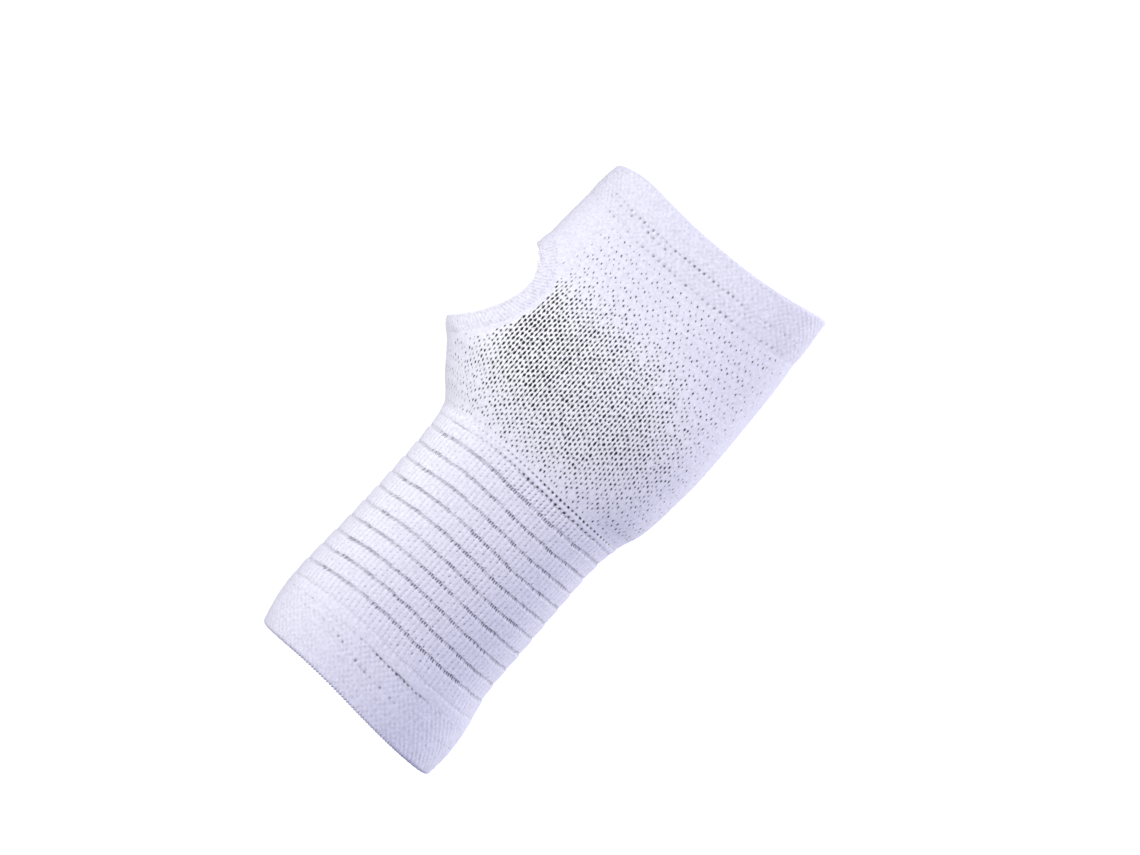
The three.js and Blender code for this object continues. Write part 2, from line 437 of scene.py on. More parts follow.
def evenly(low, high, step):
    return np.linspace(low, high, max(2, round(abs(high - low) / step) + 1))


# One row of a wall's outline: its level, how far out it lies, how much of the stitches it shows,
# how much painted shade it gets between tiers and at the seam, and how open its pits are.
Row = namedtuple("Row", "level out knit dark pit", defaults=(1, 0, 0))


def lies_even(turn, level):
    return 0 * turn


def knitted_wall(columns, outline, stitch, wales, course, settle=lies_even):
    """Closed wall of cloth whose outline rows run up its outer face and down its inner one.
    stitch gives each vertex's relief, its lift along the sleeve and its painted shade, and settle how far
    the whole wall lies above its level."""
    rows = np.array(outline, dtype=float)
    bm = flat_cloth(columns, len(rows))
    step, row = flat_places(bm)
    turn = step / columns
    level, out, knit, dark, pit = rows[np.rint(row).astype(int) % len(rows)].T
    relief, lift, painted_shade = stitch(turn, level, dark, pit)
    # The lining rows get a plain painted shade, darker than the white yarn
    painted_shade = np.where(knit > 0, painted_shade * knit, LINING_SHADE)
    mark(bm, np.clip(painted_shade, 0, 1), turn * wales, level / course)
    level = level + settle(turn, level)
    move(bm, on_sleeve(turn, level + lift * knit, out + relief * knit))
    close_seams(bm)
    return bm


def fold_rows(edge, from_out, to_out, toward):
    """Levels and distances out round a folded edge, without its ends. toward is 1 at the finger edge
    and -1 at the forearm edge."""
    radius = abs(from_out - to_out) / 2
    middle = (from_out + to_out) / 2
    turns = np.linspace(0, np.pi, FOLD_STEPS + 1)
    levels = edge - toward * radius * (1 - np.sin(turns))
    outs = middle + (from_out - middle) * np.cos(turns)
    return list(zip(levels, outs))[1:-1]


# Pin holes, sunk into the cloth and darkened with painted shade
PIN_GIRTH = 192.0
PIN_RADIUS = 0.42
PIN_DEPTH = 0.4
PIN_LEAST = 0.3
PIN_LUCK = (0.3, 1.15)


def pin_row(turn, level, row_level, strengths):
    """Row of pin holes: 1 in the middle of a full one and 0 between them."""
    count = len(strengths)
    nearest = np.rint(turn * count)
    across = (turn - nearest / count) * PIN_GIRTH
    strength = strengths[nearest.astype(int) % count]
    return strength * np.exp(-(across**2 + (level - row_level) ** 2) / PIN_RADIUS**2)


def pin_strengths(count, middle, width):
    """How open each pin hole of a row is: most where the cloth is stretched most, and never even."""
    turns = np.arange(count) / count
    shown = PIN_LEAST + (1 - PIN_LEAST) * hump(turns, middle, width)
    return shown * RNG.uniform(*PIN_LUCK, count)


# Welts: doubled bands of tuck stitches with rows of pin holes
WELT_WALES = 100
WELT_COURSE = 1.05
WELT_STEPS = 6
WELT_COURSES = 40
WELT_ROW = 0.35
WELT_OUT = 0.2
WELT_RISE = 7.0
WELT_SWELL = 0.36
TUCK_DEPTH = 0.15
TUCK_SHADE = 0.28
TUCK_LEAN = 0.7
TUCK_SHARE = RNG.uniform(0.1, 1.5, (WELT_WALES, WELT_COURSES))


def tuck_stitches(turn, level):
    """Staggered bumps that lean to one side and differ from stitch to stitch."""
    wale = WELT_WALES * turn
    course = level / WELT_COURSE / 2
    wale_no = np.rint(wale + course).astype(int) % WELT_WALES
    course_no = np.rint(course * 2).astype(int) % WELT_COURSES
    leaning = np.cos(2 * np.pi * (wale + course))
    crossing = np.cos(2 * np.pi * (wale - course))
    return TUCK_SHARE[wale_no, course_no] * (TUCK_LEAN * leaning + (1 - TUCK_LEAN) * crossing)


# Finger welt. Each row of pins has its count, the turn where it is most open and how far that spreads,
# its level, how far that bows over the palm, and how far it strays.
PinRow = namedtuple("PinRow", "count middle width level bow stray")
FINGER_PINS = [
    PinRow(count=104, middle=0.47, width=0.16, level=117.4, bow=1.3, stray=0.3),
    PinRow(count=80, middle=0.4, width=0.07, level=116.2, bow=0.4, stray=-0.3),
    PinRow(count=88, middle=0.5, width=0.18, level=111.9, bow=0.6, stray=0.3),
]
TUCK_FADE = {"below": 1, "above": 3}
THUMB_SIDE = (0.25, 0.06)
CORNER_DROOP = 4.0
DROOP_FROM = 114
DROOP_TO = 128
FOLD_KNIT = 0.6


def finger_welt():
    low = LEVEL["palm_top"] - LAP
    edge = LEVEL["finger_edge"]
    inner = -WALL["welt"]
    fold_level = edge - (WELT_OUT + WALL["welt"]) / 2
    strengths = [pin_strengths(row.count, row.middle, row.width) for row in FINGER_PINS]

    def stitch(turn, level, dark, pit):
        depth = np.sin(angle_at(level, turn)) ** 2
        faded = smooth_step(low - TUCK_FADE["below"], low + TUCK_FADE["above"], level)
        bumps = tuck_stitches(turn, level) * faded
        stray = wander(turn, level, WANDER_SEED["finger_pins"])
        pins = 0
        for row, strength in zip(FINGER_PINS, strengths):
            row_level = row.level + row.bow * depth + row.stray * stray
            pins = np.maximum(pins, pin_row(turn, level, row_level, strength))
        # Painted shade between the tuck bumps and in the pin holes
        painted_shade = TUCK_SHADE * np.clip(-bumps, 0, 1) + pins
        return TUCK_DEPTH * bumps - PIN_DEPTH * pins, 0 * turn, painted_shade

    def droop(turn, level):
        """The corner over the thumb hole hangs a little lower."""
        return -CORNER_DROOP * hump(turn, *THUMB_SIDE) * smooth_step(DROOP_FROM, DROOP_TO, level)

    tucked_edge = [Row(low, -0.3), Row(low + 0.04, -0.18)]
    swell = [
        Row(level, WELT_OUT - WELT_SWELL * ((low + WELT_RISE - level) / WELT_RISE) ** 2)
        for level in evenly(low + WELT_ROW, low + WELT_RISE - WELT_ROW, WELT_ROW)
    ]
    outer = [Row(level, WELT_OUT) for level in evenly(low + WELT_RISE, fold_level, WELT_ROW)]
    turned = [Row(level, out, FOLD_KNIT) for level, out in fold_rows(edge, WELT_OUT, inner, 1)]
    lining = [Row(level, inner, 0) for level in evenly(fold_level, low, LINING_ROW)]
    outline = [*tucked_edge, *swell, *outer, *turned, *lining]
    bm = knitted_wall(WELT_WALES * WELT_STEPS, outline, stitch, WELT_WALES, WELT_COURSE, droop)
    return piece("finger_welt_knit", bm, WELT_KNIT, "welt_knit", "finger_welt")


# Forearm welt, with a seam above it that gapes on the palm side and small loops along its rim
SEAM_SLIT = (0.525, 0.062)
SEAM_STITCHES = 120
SEAM_OPEN = 1.8
SEAM_SHADE = 0.22
SEAM_PIN_DROP = 0.12
SEAM_CLOSED_OUT = 0.2
FOREARM_PINS = {"count": 92, "middle": 0.5, "width": 0.09}
FOREARM_ROW = {"level": -42.9, "drop": 3.2, "from": 0.39, "to": 0.5}
RIM_LOOPS = 180
RIM_RISE = 1.2
RIM_OUT = 0.12
RIM_LIFT = 0.2
RIM_SHADE = 0.2


def seam_slit(turn):
    """How far the seam above the forearm welt gapes."""
    return hump(turn, *SEAM_SLIT)


def forearm_welt():
    high = LEVEL["seam"] + LAP
    edge = LEVEL["forearm_edge"]
    inner = -WALL["welt"]
    fold_level = edge + (WELT_OUT + WALL["welt"]) / 2
    strengths = pin_strengths(**FOREARM_PINS)
    seam_luck = RNG.uniform(0, 1, SEAM_STITCHES) ** 1.5
    seam_share = SEAM_OPEN * seam_luck * seam_slit(np.arange(SEAM_STITCHES) / SEAM_STITCHES) ** 0.6

    def stitch(turn, level, dark, pit):
        bumps = tuck_stitches(turn, level)
        bend = smooth_step(FOREARM_ROW["from"], FOREARM_ROW["to"], turn)
        pins = pin_row(turn, level, FOREARM_ROW["level"] - FOREARM_ROW["drop"] * bend, strengths)
        rim = smooth_step(fold_level + RIM_RISE, edge, level)
        loops = np.cos(2 * np.pi * RIM_LOOPS * turn) * rim
        slit = seam_slit(turn)
        # Painted shade in the gaping seam and its pin holes, and between the rim loops
        gape_shade = SEAM_SHADE * dark * slit**0.4 + pin_row(turn, level, high - SEAM_PIN_DROP, seam_share)
        painted_shade = TUCK_SHADE * np.clip(-bumps, 0, 1) + pins + RIM_SHADE * np.clip(-loops, 0, 1) + gape_shade
        relief = TUCK_DEPTH * bumps * (1 - rim) - PIN_DEPTH * pins + RIM_OUT * loops
        return relief + SEAM_CLOSED_OUT * dark * (1 - slit), -RIM_LIFT * loops, painted_shade

    turned = [Row(level, out) for level, out in fold_rows(edge, inner, WELT_OUT, -1)]
    outer = [Row(level, WELT_OUT) for level in evenly(fold_level, high - 0.95, WELT_ROW)]
    # Tuck rows under the seam, with painted shade in its gap
    tuck = [
        Row(high - 0.55, WELT_OUT),
        Row(high - 0.3, 0.15, dark=0.4),
        Row(high - 0.04, 0.05, dark=1),
        Row(high, -0.2, dark=1),
    ]
    lining = [Row(level, inner, 0) for level in evenly(high, fold_level, LINING_ROW)]
    outline = [*turned, *outer, *tuck, *lining]
    bm = knitted_wall(WELT_WALES * WELT_STEPS, outline, stitch, WELT_WALES, WELT_COURSE)
    return piece("forearm_welt_knit", bm, WELT_KNIT, "welt_knit", "forearm_welt")


# Wrist: tiers of cords that tuck under one another
RIB_WALES = 114
RIB_STEPS = 4
RIB_COURSE = RIB_PITCH / 5
RIB_COURSES = 64
RIB_LINING_ROW = 4
CORD_DEPTH = 0.09
CORD_SECTION = np.array([0.0, 0.7, 1.0, 0.7])
CORD_MIDDLE = 0.6
LIP_OUT = 0.36
TOP_LIP_OUT = 0.12
TAIL_OUT = 0.05
LAST_TUCK = 0.35
FIRST_PIT_DROP = 1.1
PITLESS_SPAN = 1.6

# The turn where each thing on the wrist shows most, and how far it spreads
RIB_STRETCH = (0.54, 0.1)
TOP_PITS = (0.53, 0.08)
PALM_SPECKS = (0.55, 0.09)
THUMB_SPECKS = (0.345, 0.015)
THUMB_SHADE = (0.37, 0.04)

# Pits between cords and specks in grooves: how open and how deep they are, and the specks' painted shade
PIT_LEAST = 0.3
PIT_STRETCHED = 0.65
PIT_STAGGERED = 0.55
PIT_DEPTH = 0.25
TOP_TIER = {"from": 23, "to": 26, "more_open": 2.0}
SPECK_SHADE = 1.4
SPECK_DEPTH = 0.2
SPECKED_FROM = 0.3

# How much painted shade grooves and gaps get, and how far stitches stray along the sleeve
GROOVE_SHADE = {"even": 0.95, "stretched": 0.2, "wander": 0.25, "most": 0.65}
GAP_SHADE = 0.16
SEAM_CLOSED_LIFT = 0.3
RIB_LIFT = {"wander": 0.16, "gap": 0.2, "cord": 0.3}


def rib_tier(floor, top, tuck, lip_out):
    """Outline of a tier, from the groove at its forearm side to the lip at its finger side. tuck is
    how far the groove goes under the next lip."""
    span = top - floor
    # The groove and lip rows carry painted shade where the groove goes under the next lip
    groove = [
        Row(floor, TAIL_OUT - 0.2 * tuck, dark=0.39 * tuck),
        Row(floor + 0.6, TAIL_OUT - 0.18 * tuck, dark=0.39 * tuck),
        Row(floor + 1.15, TAIL_OUT - 0.06 * tuck, dark=0.14 * tuck),
    ]
    pit_count = round((span - PITLESS_SPAN) / RIB_COURSE)
    pit_rows = []
    for index in reversed(range(pit_count)):
        level = top - FIRST_PIT_DROP - RIB_COURSE * index
        out = TAIL_OUT + (lip_out - TAIL_OUT) * (level - floor) / span
        pit_rows += [Row(level - RIB_COURSE / 2, out), Row(level, out, pit=1)]
    lip = [
        Row(top - 0.8, lip_out - 0.03),
        Row(top - 0.45, lip_out - 0.09, dark=0.1),
        Row(top - 0.15, 0.02, dark=0.35),
    ]
    return [*groove, *pit_rows, *lip]


def wrist_rib():
    low = LEVEL["seam"] - LAP
    high = LEVEL["joining_bottom"] + LAP
    grooves = [LEVEL["first_groove"] - RIB_PITCH * index for index in range(GROOVE_COUNT)]
    edges = [high, *grooves, LEVEL["last_step"]][::-1]
    open_share = RNG.uniform(0, 1, (RIB_WALES, RIB_COURSES)) ** 2
    groove_share = np.clip(RNG.uniform(-0.6, 1.3, (2 * RIB_WALES, RIB_COURSES)), 0, 1)
    cord_share = RNG.uniform(0.3, 1.3, (RIB_WALES, RIB_COURSES))

    def stitch(turn, level, dark, pit):
        step = np.rint(turn * RIB_WALES * RIB_STEPS).astype(int)
        wale = (step // RIB_STEPS) % RIB_WALES
        course = np.rint((level - low) / RIB_COURSE).astype(int) % RIB_COURSES
        gap = step % RIB_STEPS == 0
        cord = cord_share[wale, course]
        stretched = 0.2 + 0.8 * hump(turn, *RIB_STRETCH)

        staggered = np.where((wale + course) % 2 == 0, 1.0, PIT_STAGGERED)
        opened = PIT_LEAST + PIT_STRETCHED * stretched * open_share[wale, course]
        pits = np.where(gap, pit * staggered * opened, 0)
        top_tier = TOP_TIER["more_open"] * smooth_step(TOP_TIER["from"], TOP_TIER["to"], level)
        pits = pits * (1 + top_tier * hump(turn, *TOP_PITS))

        # Specks of painted shade along the grooves, most on the palm side and near the thumb
        speck = np.where(step % 2 == 0, groove_share[(step // 2) % (2 * RIB_WALES), course], 0)
        specked = hump(turn, *PALM_SPECKS) + 0.6 * hump(turn, *THUMB_SPECKS)
        specked = (dark > SPECKED_FROM) * specked
        speck = SPECK_SHADE * speck * specked

        # Painted shade in the grooves: faded on the lit thumb side, deeper just beside it and where
        # stretched, lighter between specks
        uneven = GROOVE_SHADE["wander"] * wander(turn, level, WANDER_SEED["rib_shade"])
        shown = 1 - 0.6 * hump(turn, *THUMB_SIDE)
        shade = dark * shown * (GROOVE_SHADE["even"] + GROOVE_SHADE["stretched"] * stretched + uneven)
        shade = shade * (1 + 0.25 * hump(turn, *THUMB_SHADE))
        shade = shade * (0.7 + 0.35 * cord) * (1 - 0.6 * specked * (step % 2))
        painted_shade = np.clip(shade, 0, GROOVE_SHADE["most"]) + pits + speck + np.where(gap, GAP_SHADE, 0)

        lift = RIB_LIFT["wander"] * wander(turn, level, WANDER_SEED["rib_lift"])
        lift = lift + RIB_LIFT["gap"] * np.where(gap, -1, 0.3) + RIB_LIFT["cord"] * (cord - 0.8)
        closed = np.where(level < low + 0.1, SEAM_CLOSED_LIFT * (1 - seam_slit(turn)), 0)
        cords = CORD_DEPTH * (CORD_SECTION[step % RIB_STEPS] - CORD_MIDDLE) * cord
        return cords - PIT_DEPTH * pits - SPECK_DEPTH * speck + closed, lift, painted_shade

    outer = [Row(low, -0.2, dark=0.1), Row(low + 0.3, 0.1)]
    outer += [Row(level, 0.2) for level in evenly(low + 0.8, LEVEL["last_step"] - 0.4, 0.6)]
    for floor, top in zip(edges, edges[1:]):
        tuck = LAST_TUCK if floor == LEVEL["last_step"] else 1.0
        outer += rib_tier(floor, top, tuck, TOP_LIP_OUT if top == high else LIP_OUT)
    lining = [Row(level, -WALL["wrist"], 0) for level in evenly(high, low, RIB_LINING_ROW)]
    outline = [*outer, Row(high, -0.2, dark=0.1), *lining]
    bm = knitted_wall(RIB_WALES * RIB_STEPS, outline, stitch, RIB_WALES, RIB_COURSE)
    return piece("wrist_rib_knit", bm, RIB_KNIT, "rib_knit", "wrist_sleeve")


# Joining band: one flat row of stitches with a dotted line on each side. Each line of pins has its count,
# where and how far its drawn strengths spread, its least strength, and how much more shows where.
BandPins = namedtuple("BandPins", "count drawn least more shown")
UPPER_BAND_PINS = BandPins(112, drawn=(0.58, 0.13), least=0.4, more=1.1, shown=(0.57, 0.13))
LOWER_BAND_PINS = BandPins(98, drawn=(0.53, 0.1), least=0.35, more=1.15, shown=(0.56, 0.12))
BAND_STITCHES = 98
BAND_STEPS = 6
BAND_COURSE = 1.2
BAND_ROW = 0.26
BAND_LINING_ROW = 1
BAND_SWELL = 0.2
BAND_EDGE_OUT = -0.25
BAND_CORD_DEPTH = 0.04
BAND_CORD_SHADE = 0.06
BAND_PIN_INSET = 0.3
BAND_PIN_STRAY = 0.15
BAND_PIN_SHADE = 1.6
BAND_PIN_EVENNESS = 0.4


def band_pins(row):
    """How open each pin hole along one side of the band is."""
    turns = np.arange(row.count) / row.count
    strengths = pin_strengths(row.count, *row.drawn) ** BAND_PIN_EVENNESS
    return strengths * (row.least + row.more * hump(turns, *row.shown))


def joining_band():
    low = LEVEL["joining_bottom"] - LAP
    high = LEVEL["palm_bottom"] + LAP
    middle = (low + high) / 2
    upper = band_pins(UPPER_BAND_PINS)
    lower = band_pins(LOWER_BAND_PINS)

    def stitch(turn, level, dark, pit):
        stray = BAND_PIN_STRAY * wander(turn, level, WANDER_SEED["band_pins"])
        pins = pin_row(turn, level, high - BAND_PIN_INSET + stray, upper)
        pins = np.maximum(pins, pin_row(turn, level, low + BAND_PIN_INSET, lower))
        cords = np.cos(2 * np.pi * BAND_STITCHES * turn)
        # Painted shade in the pin holes and between the cords
        painted_shade = BAND_PIN_SHADE * pins + BAND_CORD_SHADE * np.clip(-cords, 0, 1)
        return BAND_CORD_DEPTH * cords - PIN_DEPTH * pins, 0 * turn, painted_shade

    levels = evenly(low + 0.04, high - 0.04, BAND_ROW)
    swell = np.clip(1 - np.abs((levels - middle) / (high - middle)) ** 2.5, 0, 1)
    outer = [Row(level, -0.05 + BAND_SWELL * share) for level, share in zip(levels, swell)]
    lining = [Row(level, -WALL["joining"], 0) for level in evenly(high, low, BAND_LINING_ROW)]
    outline = [Row(low, BAND_EDGE_OUT), *outer, Row(high, BAND_EDGE_OUT), *lining]
    bm = knitted_wall(BAND_STITCHES * BAND_STEPS, outline, stitch, BAND_STITCHES, BAND_COURSE)
    return piece("joining_band_knit", bm, WELT_KNIT, "welt_knit", "joining_band")


# Palm: a net of wales whose eyelets open where the cloth is stretched. It counts in half stitches.
PALM_WALES = 200
PALM_COURSES = 39
NET_CELLS = (2 * PALM_WALES, 2 * PALM_COURSES + 1)
NET_SUNK = 0.15
NET_END_SUNK = 0.1
NET_CUT_MARGIN = HEM_WIDTH - 2.2
EYELET_CUT = 0.3
EYELET_DEPTH = 0.8
EYELET_TAPER = 0.7
# Painted shade on the inner side of the net, seen through the eyelets
LINING_PAINTED_SHADE = 0.3

# Where the sleeve narrows below the thumb hole, and how far the wales crowd there
WIDEST_LEFT = -52.5
NARROWING = 17.0
WALE_CROWDING = 0.046

# Where the net is stretched: ovals on the palm and a strip beside the hem. It fades at the far side and at
# an edge on the thumb side, which steps inwards from level to level.
BALL = {"x": -2, "z": 62, "half_width": 34, "half_length": 25, "edge": 2}
THUMB_BASE = {"x": -26, "z": 67, "half_width": 18, "half_length": 21, "edge": 1.5}
HEM_STRIP = {"x": (-29, 5), "z": (72, 13)}
FAR_FADE = (43, 30)
THUMB_EDGE = -45
THUMB_EDGE_STEPS = [(5, 50, 70), (8, 78, 95)]
THUMB_FADE = (-3, 8)
STRETCH = {"even": 0.24, "ball": 0.52, "thumb": 0.22, "hem": 0.32, "rear": 0.22, "plain": 0.04}
PLAIN_MARGIN = HEM_WIDTH + 1.8
LEAST_STRETCH = 0.05

# Which crossings open first, and what share of them opens
LUCK_LATTICE = (0.377, 0.285)
LUCK_SPREAD = 0.35
OPEN_SHARE = {"even": 0.1, "stretched": 1.4, "heel": 0.15}
HEEL = {"levels": (62, 50), "thumb_side": (0.22, 0.3), "far_side": (0.8, 0.7)}

# Half sizes of an eyelet in half stitches: closed, how much more where stretched, and at most
EYELET_WIDTH = (0.14, 0.41, 0.6)
EYELET_HEIGHT = (0.08, 0.46, 0.75)


def in_thumb_hole(x, z, margin):
    """Below 1 inside the thumb hole made larger by a margin, seen from the palm side."""
    lean = math.radians(THUMB_HOLE["lean"])
    right, up = x - THUMB_HOLE["x"], z - THUMB_HOLE["z"]
    wide = (right * math.cos(lean) + up * math.sin(lean)) / (THUMB_HOLE["half_width"] + margin)
    tall = (up * math.cos(lean) - right * math.sin(lean)) / (THUMB_HOLE["half_length"] + margin)
    return wide**2 + tall**2


def oval(x, z, form):
    """1 in the middle of an oval, falling to 0 outside it, the more sharply the higher its edge."""
    across = (x - form["x"]) / form["half_width"]
    along = (z - form["z"]) / form["half_length"]
    return np.exp(-((across**2 + along**2) ** form["edge"]))


def palm_stretch(turn, level):
    """How far the net is pulled open: most across the ball of the palm and beside the thumb hole."""
    points = on_sleeve(turn, level, 0 * turn)
    x, z = points[:, 0] / MM, points[:, 2] / MM
    edge = THUMB_EDGE
    for inset, low, high in THUMB_EDGE_STEPS:
        edge = edge + inset * smooth_step(low, high, z)
    sides = smooth_step(edge + THUMB_FADE[0], edge + THUMB_FADE[1], x) * smooth_step(*FAR_FADE, x)
    hem_strip = hump(x, *HEM_STRIP["x"]) * hump(z, *HEM_STRIP["z"])
    pulled = STRETCH["even"] + STRETCH["ball"] * oval(x, z, BALL) + STRETCH["thumb"] * oval(x, z, THUMB_BASE)
    front = sides * pulled + STRETCH["hem"] * hem_strip
    front = np.where(in_thumb_hole(x, z, PLAIN_MARGIN) < 1, STRETCH["plain"], front)
    return np.where((turn > 0.25) & (turn < 0.75), front, STRETCH["rear"] * sides)


def palm_places(across, along):
    """Turn and level of places on the flat net. Where the sleeve narrows, the wales of the palm side
    run straight on and crowd together at the thumb side."""
    low = LEVEL["palm_bottom"] - LAP
    high = LEVEL["palm_top"] + 2 * LAP
    turn = across / (2 * PALM_WALES)
    level = low + (high - low) * along / (2 * PALM_COURSES)
    narrowed = np.clip((column("left", level) - WIDEST_LEFT) / NARROWING, 0, 1)
    palm_side = smooth_step(0.25, 0.4, turn) * smooth_step(0.72, 0.4, turn)
    return turn - WALE_CROWDING * narrowed * palm_side, level


def opened_crossings(bm):
    """Crossings of wales and courses where an eyelet opens: every second one first, in loose order."""
    across, along = flat_places(bm)
    turn, level = palm_places(across, along)
    stretch = palm_stretch(turn, level)
    column_no, row_no = np.rint(across).astype(int), np.rint(along).astype(int)
    inner = (row_no > 0) & (row_no < 2 * PALM_COURSES) & (column_no > 0) & (column_no < 2 * PALM_WALES)
    crossing = inner & (column_no % 2 == 0) & (row_no % 2 == 0)
    columns, rows = np.arange(NET_CELLS[0]), np.arange(NET_CELLS[1])
    lattice = np.add.outer(LUCK_LATTICE[0] * columns, LUCK_LATTICE[1] * rows)
    luck = (lattice + RNG.uniform(0, LUCK_SPREAD, NET_CELLS)) % 1
    luck = 0.5 * (np.add.outer(columns // 2, rows // 2) % 2) + 0.5 * luck
    heel = smooth_step(*HEEL["levels"], level)
    heel = heel * smooth_step(*HEEL["thumb_side"], turn) * smooth_step(*HEEL["far_side"], turn)
    share = OPEN_SHARE["even"] + OPEN_SHARE["stretched"] * stretch + OPEN_SHARE["heel"] * heel
    opened = crossing & (stretch > LEAST_STRETCH) & (luck[column_no % NET_CELLS[0], row_no] < share)
    verts = list(bm.verts)
    return [verts[index] for index in np.flatnonzero(opened)]


def shape_net(bm):
    """Pull the eyelets open, raise the cords between them, and wrap the net on the sleeve."""
    across, along = flat_places(bm)
    centre_x, centre_y = np.rint(across), np.rint(along)
    off_x, off_y = across - centre_x, along - centre_y
    stretch = palm_stretch(*palm_places(centre_x, centre_y))
    column_no, row_no = centre_x.astype(int) % NET_CELLS[0], centre_y.astype(int)
    rim = np.abs(off_x) + np.abs(off_y) > 0.5 * EYELET_CUT
    slit_column = column_no % 2 == 0

    # An eyelet is wide and short or narrow and tall, neighbouring columns are staggered by half a course,
    # and in some columns the slits between eyelets join up in a ladder.
    width_share = RNG.uniform(0.65, 1.3, NET_CELLS)[column_no, row_no]
    tone = 0.3 + 0.7 * RNG.uniform(0, 1, NET_CELLS)[column_no, row_no] ** 1.3
    stray = RNG.uniform(-0.35, 0.35, NET_CELLS)[column_no, row_no]
    column_luck = RNG.uniform(0, 1, NET_CELLS[0])[column_no]
    column_shift = 0.6 * column_luck - 0.3 + np.where(column_no % 4 == 0, 0.5, -0.5)
    ladder = 7 * column_luck % 1
    closed, more, most = EYELET_WIDTH
    half_width = np.minimum((closed + more * stretch) * width_share, most)
    closed, more, most = EYELET_HEIGHT
    half_height = np.minimum((closed + more * stretch) * (2.1 - width_share), most)
    ends = np.minimum(along, 2 * PALM_COURSES - along)
    shift = np.where(slit_column, column_shift + stray, 0.3 * stray) * np.clip(ends / 2, 0, 1)
    new_across = np.where(rim, centre_x + np.sign(np.rint(off_x * 10)) * half_width, across)
    new_along = np.where(rim, centre_y + np.sign(np.rint(off_y * 10)) * half_height, along) + shift

    cord = np.where(slit_column, 0.0, 0.06 + 0.12 * stretch) + 0.2 * stray
    relief = np.where(rim, 0.0, cord)
    # Painted shade on the eyelet rims and in the slits between them, stronger where stretched, and faint
    # elsewhere
    slit_shade = np.minimum(0.1 + stretch, 0.95) * (0.6 + 0.25 * tone + 0.25 * ladder)
    rim_shade = 0.68 + 0.1 * stretch + 0.45 * np.maximum(0.74 * stretch, tone)
    painted_shade = np.where(rim, rim_shade, np.where(slit_column, slit_shade, 0.05))
    pull = np.clip(1.6 * stretch - 0.35, 0, 1)
    turn, level = palm_places(new_across, new_along)
    mark(bm, painted_shade, new_across / 2, new_along / 2, pull=pull)
    move(bm, on_sleeve(turn, level, relief - NET_SUNK - NET_END_SUNK * (ends < 0.5)))
    close_seams(bm)


def cut_thumb_hole(bm):
    """Remove the net inside the thumb hole, up to a line that the hem covers."""
    lost = []
    for face in bm.faces:
        middle = face.calc_center_median() / MM
        if middle.x < -20 and in_thumb_hole(middle.x, middle.z, NET_CUT_MARGIN) < 1:
            lost.append(face)
    bmesh.ops.delete(bm, geom=lost, context="FACES")


def line_net(bm):
    """Give the net its thickness, with an inner side darkened by painted shade so that eyelets look dark."""
    wall = bmesh.ops.solidify(bm, geom=bm.faces, thickness=WALL["palm"] * MM)
    painted_shade = bm.verts.layers.float["painted_shade"]
    pull = bm.verts.layers.float["pull"]
    for part in wall["geom"]:
        if isinstance(part, bmesh.types.BMVert):
            part[painted_shade] = LINING_PAINTED_SHADE
            part[pull] = 0


def sink_eyelets(bm, eyelets):
    """Push each eyelet into the wall, to end between the yarns of the inner side."""
    painted_shade = bm.verts.layers.float["painted_shade"]
    pull = bm.verts.layers.float["pull"]
    sunk = bmesh.ops.extrude_discrete_faces(bm, faces=eyelets)
    for floor in sunk["faces"]:
        floor.normal_update()
        middle = floor.calc_center_median()
        drop = floor.normal * EYELET_DEPTH * MM
        for vert in floor.verts:
            vert.co = middle + (vert.co - middle) * EYELET_TAPER - drop
            # Eyelet floors get deeper painted shade, more where the cloth is pulled
            vert[painted_shade] = min(1, (1.05 + 0.5 * vert[pull]) * vert[painted_shade])


def palm_net():
    bm = flat_cloth(2 * PALM_WALES, 2 * PALM_COURSES)
    cut = bmesh.ops.bevel(
        bm, geom=opened_crossings(bm), offset=EYELET_CUT, offset_type="OFFSET", segments=1, profile=0.5,
        affect="VERTICES", material=-1,
    )
    shape_net(bm)
    cut_thumb_hole(bm)
    eyelets = [face for face in cut["faces"] if face.is_valid]
    line_net(bm)
    sink_eyelets(bm, eyelets)
    return piece("palm_net_knit", bm, PALM_KNIT, "palm_knit", "palm_sleeve")


# Thumb hem: an overcast band round the thumb hole
HEM_STITCHES = 112
HEM_STEPS = 5
HEM_MIDDLE = {"turn": 0.25, "level": 72.0}
HEM_GIRTH = 205.0
HEM_REACH = 70.0
HEM_HALVINGS = 40
HEM_LEAN = 0.18
HEM_RELIEF = 0.09
HEM_SHADE = {"profile": 0.7, "stitch": 0.45, "dot": 0.9}
HEM_DOTS = {"from": 4.9, "to": 5.7, "step": 2, "depth": 0.15}

# Profile rows: distance from the rim, distance out, share of the stitches that shows, and painted shade
HEM_PROFILE = [
    (0.0, -0.6, 0.4, 0.1), (0.08, -0.1, 0.6, 0.0), (0.3, 0.2, 0.6, 0.0), (0.7, 0.3, 0.4, 0.05),
    (1.0, 0.2, 0.5, 0.25), (1.4, 0.24, 0.8, 0.05), (2.0, 0.28, 1.0, 0.0), (2.7, 0.28, 1.0, 0.0),
    (3.4, 0.26, 1.0, 0.0), (4.1, 0.22, 1.0, 0.0), (4.7, 0.1, 0.9, 0.0), (5.2, -0.03, 0.7, 0.0),
    (5.6, -0.12, 0.5, 0.0), (5.9, -0.2, 0.2, 0.0), (5.7, -1.3, 0.0, 0.2), (4.4, -1.6, 0.0, 0.2),
    (2.6, -1.6, 0.0, 0.2), (1.0, -1.5, 0.0, 0.2), (0.2, -1.2, 0.2, 0.2),
]


